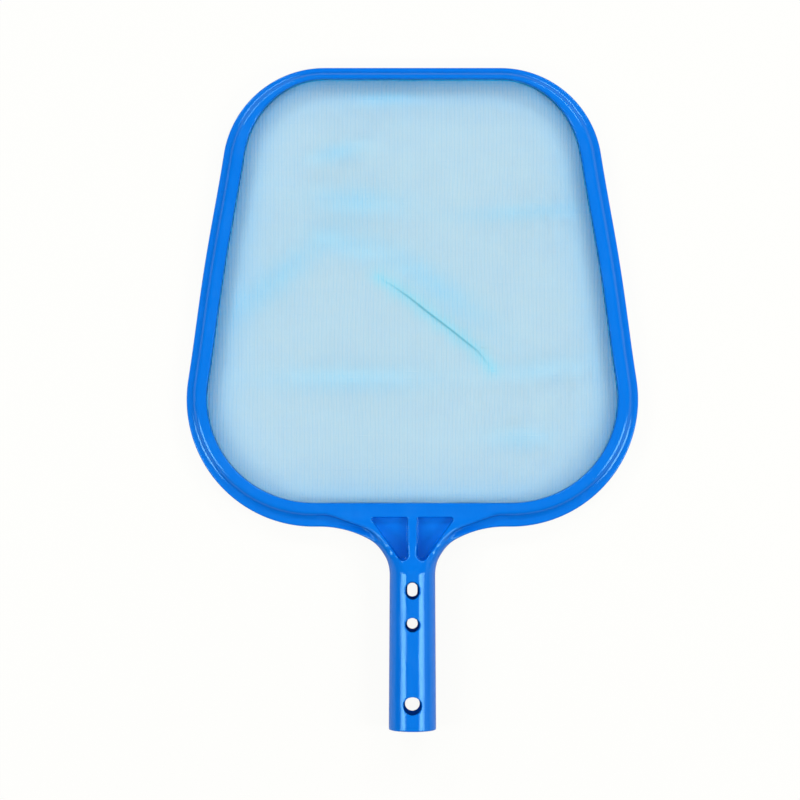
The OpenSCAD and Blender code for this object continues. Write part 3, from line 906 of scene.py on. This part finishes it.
def net_piece():
    """The knitted net as its own threads: wales along Y, strong and fine by turns, over close courses."""
    verts, quads, tones = [], [], []
    count = 0
    for axis, (pitch, half_widths, half_t, lift, shift) in enumerate((WALES, COURSES)):
        edge = HEM_EDGE[:, axis]
        places = np.arange(edge.min() + FIRST_IN, edge.max() - LAST_IN, pitch)
        for number, at in enumerate(places):
            line = thread_line(at, axis, rng.normal(0, shift))
            if line is None:
                continue
            half_w = half_widths[number % len(half_widths)]
            points, shape, tone = thread_tube(line, axis, lift, half_w, half_t)
            verts.append(points)
            quads.append(shape + count)
            tones.append(tone)
            count += len(points)
    obj = new_object("net_visual", np.concatenate(verts), np.concatenate(quads))
    attribute = obj.data.attributes.new("tone", "FLOAT_COLOR", "POINT")
    attribute.data.foreach_set("color", np.concatenate(tones).ravel())
    return obj


# --------------------
# Materials. Bump distances are in metres.
# --------------------
MIX_A, MIX_B, MIX_OUT = 6, 7, 2   # a Mix node's colour sockets


def srgb(r, g, b):
    """Linear colour of a screen colour given as 0 to 255."""
    c = np.array([r, g, b]) / 255
    lin = np.where(c <= 0.04045, c / 12.92, ((c + 0.055) / 1.055) ** 2.4)
    return (*lin.tolist(), 1.0)


def new_material(name):
    """An empty node material: the material, its nodes, its links and its output node."""
    material = bpy.data.materials.new(name)
    material.use_nodes = True
    nodes = material.node_tree.nodes
    nodes.clear()
    out = nodes.new("ShaderNodeOutputMaterial")
    return material, nodes, material.node_tree.links, out


def noise(nodes, links, vector, scale, detail):
    """Noise from 0 to 1 at a place."""
    texture = nodes.new("ShaderNodeTexNoise")
    texture.inputs["Scale"].default_value = scale
    texture.inputs["Detail"].default_value = detail
    links.new(vector, texture.inputs["Vector"])
    return texture.outputs["Fac"]


def bump(nodes, links, height, distance, under=None):
    """Bump of a height from 0 to 1 over a distance, on top of another bump if given."""
    node = nodes.new("ShaderNodeBump")
    node.inputs["Distance"].default_value = distance
    links.new(height, node.inputs["Height"])
    if under is not None:
        links.new(under, node.inputs["Normal"])
    return node.outputs["Normal"]


def ramp(nodes, links, value, low, high):
    """A value that runs from low[1] at low[0] to high[1] at high[0]."""
    node = nodes.new("ShaderNodeMapRange")
    node.inputs["From Min"].default_value, node.inputs["To Min"].default_value = low
    node.inputs["From Max"].default_value, node.inputs["To Max"].default_value = high
    links.new(value, node.inputs["Value"])
    return node.outputs["Result"]


def blend(nodes, links, amount, start, end):
    """A colour that runs from start, which is a colour or a socket, to the colour end."""
    node = nodes.new("ShaderNodeMix")
    node.data_type = "RGBA"
    links.new(amount, node.inputs["Factor"])
    if isinstance(start, tuple):
        node.inputs[MIX_A].default_value = start
    else:
        links.new(start, node.inputs[MIX_A])
    node.inputs[MIX_B].default_value = end
    return node.outputs[MIX_OUT]


def frame_plastic():
    """Glossy moulded blue plastic: long flow waves, a fine grain and faint scuffs in the gloss."""
    material, nodes, links, out = new_material("frame_plastic")
    shader = nodes.new("ShaderNodeBsdfPrincipled")
    place_in = nodes.new("ShaderNodeTexCoord")
    stretched = nodes.new("ShaderNodeMapping")
    stretched.inputs["Scale"].default_value = (1.0, 0.12, 1.0)
    links.new(place_in.outputs["Object"], stretched.inputs["Vector"])
    flow = noise(nodes, links, stretched.outputs[0], 260.0, 2.0)
    grain = noise(nodes, links, place_in.outputs["Object"], 2400.0, 2.0)
    scuffs = noise(nodes, links, place_in.outputs["Object"], 90.0, 6.0)
    waves = bump(nodes, links, flow, 0.00012)
    links.new(bump(nodes, links, grain, 0.000004, waves), shader.inputs["Normal"])
    links.new(ramp(nodes, links, scuffs, (0.5, 0.13), (0.72, 0.24)), shader.inputs["Roughness"])
    tint = blend(nodes, links, flow, srgb(0, 112, 221), srgb(0, 118, 225))
    links.new(tint, shader.inputs["Base Color"])
    shader.inputs["Specular Tint"].default_value = (0.42, 0.95, 1.0, 1.0)
    links.new(shader.outputs[0], out.inputs["Surface"])
    return material


def ring_plastic():
    """Satin moulded blue plastic with a fine grain and uneven gloss."""
    material, nodes, links, out = new_material("ring_plastic")
    shader = nodes.new("ShaderNodeBsdfPrincipled")
    place_in = nodes.new("ShaderNodeTexCoord")
    grain = noise(nodes, links, place_in.outputs["Object"], 1100.0, 3.0)
    gloss = noise(nodes, links, place_in.outputs["Object"], 120.0, 5.0)
    links.new(bump(nodes, links, grain, 0.00002), shader.inputs["Normal"])
    links.new(ramp(nodes, links, gloss, (0.4, 0.28), (0.7, 0.46)), shader.inputs["Roughness"])
    shader.inputs["Base Color"].default_value = srgb(0, 98, 212)
    links.new(shader.outputs[0], out.inputs["Surface"])
    return material


def cord_fibre():
    """Dull polyester cord with loose fibres and a slightly uneven tone."""
    material, nodes, links, out = new_material("cord_fibre")
    shader = nodes.new("ShaderNodeBsdfPrincipled")
    place_in = nodes.new("ShaderNodeTexCoord")
    fibres = noise(nodes, links, place_in.outputs["Object"], 3200.0, 2.0)
    links.new(bump(nodes, links, fibres, 0.00008), shader.inputs["Normal"])
    tint = blend(nodes, links, fibres, srgb(192, 214, 229), srgb(230, 243, 250))
    links.new(tint, shader.inputs["Base Color"])
    shader.inputs["Roughness"].default_value = 0.8
    links.new(shader.outputs[0], out.inputs["Surface"])
    return material


def net_mesh():
    """Thin pale blue thread with a random mottle and painted light: blue shade and bounce light at the
    rim, cyan shade on the folds, a teal shade line along the crease and a highlight beside it.
    """
    material, nodes, links, out = new_material("net_mesh")
    tone = nodes.new("ShaderNodeAttribute")
    tone.attribute_name = "tone"
    parts = nodes.new("ShaderNodeSeparateColor")
    links.new(tone.outputs["Color"], parts.inputs[0])
    rim, fold_shade, crease_line_shade = parts.outputs
    place_in = nodes.new("ShaderNodeTexCoord")
    mottle = noise(nodes, links, place_in.outputs["Object"], 55.0, 3.0)
    filaments = noise(nodes, links, place_in.outputs["Object"], 4200.0, 1.0)
    colour = srgb(172, 226, 246)
    # After the random mottle, these blends paint light: cyan shade on the folds, a highlight beside the
    # crease, a teal shade line along the crease, and blue shade and bounce light at the rim.
    for amount, towards in [(mottle, srgb(154, 217, 246)), (fold_shade, srgb(118, 216, 251)),
                            (tone.outputs["Alpha"], srgb(92, 226, 255)), (crease_line_shade, srgb(0, 176, 204)),
                            (rim, srgb(0, 196, 255))]:
        colour = blend(nodes, links, amount, colour, towards)
    shader = nodes.new("ShaderNodeBsdfPrincipled")
    shader.inputs["Roughness"].default_value = 0.45
    links.new(bump(nodes, links, filaments, 0.00003), shader.inputs["Normal"])
    links.new(colour, shader.inputs["Base Color"])
    links.new(shader.outputs[0], out.inputs["Surface"])
    return material


def floor_white():
    """Pale floor that the camera sees as near white, and that still takes a faint shadow."""
    material, nodes, links, out = new_material("floor_white")
    path = nodes.new("ShaderNodeLightPath")
    seen = nodes.new("ShaderNodeMath")
    seen.operation = "MAXIMUM"
    links.new(path.outputs["Is Camera Ray"], seen.inputs[0])
    links.new(path.outputs["Is Transmission Ray"], seen.inputs[1])
    share = nodes.new("ShaderNodeMath")
    share.operation = "MULTIPLY"
    share.inputs[1].default_value = 0.9
    links.new(seen.outputs[0], share.inputs[0])
    lit = nodes.new("ShaderNodeBsdfDiffuse")
    lit.inputs["Color"].default_value = (0.6, 0.6, 0.6, 1)
    glow = nodes.new("ShaderNodeEmission")
    glow.inputs["Color"].default_value = (1.029, 1.029, 1.009, 1)
    mixer = nodes.new("ShaderNodeMixShader")
    links.new(share.outputs[0], mixer.inputs[0])
    links.new(lit.outputs[0], mixer.inputs[1])
    links.new(glow.outputs[0], mixer.inputs[2])
    links.new(mixer.outputs[0], out.inputs["Surface"])
    return material


# --------------------
# Pieces
# --------------------
def place(obj, material, slot, *nodes):
    """Gives a piece its material and its body, and hides the CAD nodes that it stands for. slot is not
    used.
    """
    obj.data.materials.append(material)
    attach(obj, "root")
    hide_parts(*nodes)
    return obj


place(moulding(), frame_plastic(), "frame_plastic", "hoop", "yoke", "pole_socket")
place(ring_piece(), ring_plastic(), "ring_plastic", "retaining_ring")
place(cord_piece(), cord_fibre(), "cord_fibre", "edge_cord")
net = place(net_piece(), net_mesh(), "net_mesh", "net")


# --------------------
# Floor, light and camera, in metres
# --------------------
FLOOR_HALF = 6.0
FLOOR_Z = -0.0004                 # clear of the lowest threads
BEFORE_MOUTH = (0, -0.26, 0)
NET_MIDDLE = (0, 0.1, 0)
# Name, place, what it is aimed at, width, height and watts. The low pairs make the tube's two streaks.
LAMPS = [
    ("low_left", (-0.61, -0.26, 0.73), BEFORE_MOUTH, 0.28, 0.24, 1.9),
    ("low_left_skirt", (-0.76, -0.26, 0.58), BEFORE_MOUTH, 0.28, 0.24, 1.3),
    ("low_right", (0.61, -0.26, 0.73), BEFORE_MOUTH, 0.28, 0.24, 2.1),
    ("low_right_skirt", (0.76, -0.26, 0.58), BEFORE_MOUTH, 0.28, 0.24, 1.4),
    ("wall_right", (1.0, -0.1, 0.3), (0, -0.1, 0.1), 1.5, 0.3, 0.9),
    ("high_left", (-0.52, 0.75, 0.72), NET_MIDDLE, 0.5, 0.2, 3.7),
    ("high_right", (0.52, 0.75, 0.72), NET_MIDDLE, 0.5, 0.2, 3.7),
]
WORLD_STRENGTH = 0.12
LENS = 128.11
SENSOR_W = 36
CAMERA_AT = (-0.0083, -0.0012, 1.915)


def floor_piece():
    """The square floor, which is staging and no piece of the object."""
    mesh = bpy.data.meshes.new("floor")
    s, z = FLOOR_HALF, FLOOR_Z
    mesh.from_pydata([(-s, -s, z), (s, -s, z), (s, s, z), (-s, s, z)], [], [(0, 1, 2, 3)])
    obj = bpy.data.objects.new("floor", mesh)
    bpy.context.scene.collection.objects.link(obj)
    obj.data.materials.append(floor_white())


def softbox(name, place_at, aim, width, height, power):
    """A rectangular lamp at a place, turned towards aim."""
    data = bpy.data.lights.new(name, "AREA")
    data.shape = "RECTANGLE"
    data.size, data.size_y = width, height
    data.energy = power
    obj = bpy.data.objects.new(name, data)
    obj.location = place_at
    obj.rotation_euler = (Vector(aim) - Vector(place_at)).to_track_quat("-Z", "Y").to_euler()
    bpy.context.scene.collection.objects.link(obj)
    return obj


floor_piece()
world = bpy.data.worlds.new("studio")
world.use_nodes = True
world.node_tree.nodes["Background"].inputs["Color"].default_value = (1, 1, 1, 1)
world.node_tree.nodes["Background"].inputs["Strength"].default_value = WORLD_STRENGTH
bpy.context.scene.world = world
for lamp in LAMPS:
    softbox(*lamp)
overhead = softbox("overhead", (0, 0.15, 1.7), (0, 0.15, 0), 1.4, 1.4, 8.5)
overhead.visible_glossy = False
overhead.visible_camera = False

camera_data = bpy.data.cameras.new("camera")
camera_data.lens = LENS
camera_data.sensor_width = SENSOR_W
camera = bpy.data.objects.new("camera", camera_data)
camera.location = CAMERA_AT
bpy.context.scene.collection.objects.link(camera)
bpy.context.scene.camera = camera
bpy.context.scene.view_settings.view_transform = "Standard"

bpy.context.view_layer.update()
